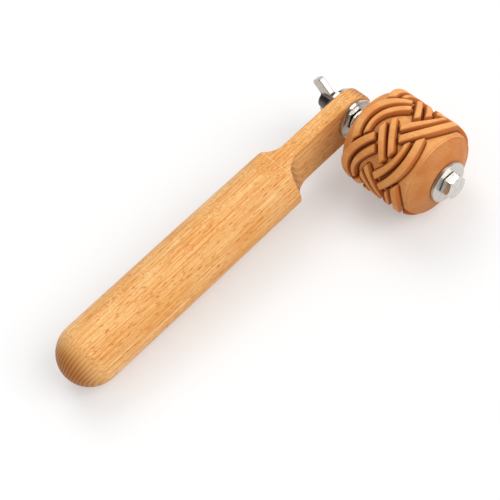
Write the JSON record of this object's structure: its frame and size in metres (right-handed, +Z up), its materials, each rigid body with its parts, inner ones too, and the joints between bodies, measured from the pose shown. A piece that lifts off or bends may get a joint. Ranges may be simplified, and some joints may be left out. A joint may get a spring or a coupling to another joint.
{
  "type": "clay texture roller",
  "caption": "Wooden roller with a raised plait, turning on a bolt at the end of a round beech handle, for pressing a border into clay.",
  "frame": {"origin": "on the table, under the middle of the box of the tool as it lies", "axes": "+X along the bolt from the wing nut to the hexagon head, +Y along the handle from its butt to the roller, +Z up from the table"},
  "size_m": [0.0812, 0.1884, 0.0439],
  "materials": {
    "handle_beech": "oiled beech, sanded smooth",
    "carved_beech": "oiled beech, machine carved, darker in the grooves",
    "plated_steel": "bright zinc plating"
  },
  "bodies": {
    "handle_body": {"handle": "handle_beech", "hex_bolt": "plated_steel", "thin_nut": "plated_steel", "tongue_washer": "plated_steel"},
    "roller_body": {"roller": "carved_beech"},
    "outer_washer_body": {"outer_washer": "plated_steel"},
    "roller_washer_body": {"roller_washer": "plated_steel"},
    "rear_washer_body": {"rear_washer": "plated_steel"},
    "wing_nut_body": {"wing_nut": "plated_steel"}
  },
  "joints": [
    {"name": "roller_spin", "type": "hinge", "parent": "handle_body", "child": "roller_body", "pos_m": [-0.0224, 0.07226, 0.02195], "axis": [1, 0, 0], "continuous": true},
    {"name": "outer_washer_spin", "type": "hinge", "parent": "handle_body", "child": "outer_washer_body", "pos_m": [-0.0224, 0.07226, 0.02195], "axis": [1, 0, 0], "continuous": true},
    {"name": "roller_washer_spin", "type": "hinge", "parent": "handle_body", "child": "roller_washer_body", "pos_m": [-0.0224, 0.07226, 0.02195], "axis": [1, 0, 0], "continuous": true},
    {"name": "wing_nut_travel", "type": "slide", "parent": "handle_body", "child": "rear_washer_body", "axis": [-1, 0, 0], "range_m": [0, 0.005]},
    {"name": "wing_nut_turn", "type": "hinge", "parent": "rear_washer_body", "child": "wing_nut_body", "pos_m": [-0.0224, 0.07226, 0.02195], "axis": [-1, 0, 0], "range_deg": [0, 1800]}
  ],
  "couplings": [
    {"joint": "wing_nut_travel", "follows": "wing_nut_turn", "m_per_rad": 0.00015915}
  ]
}
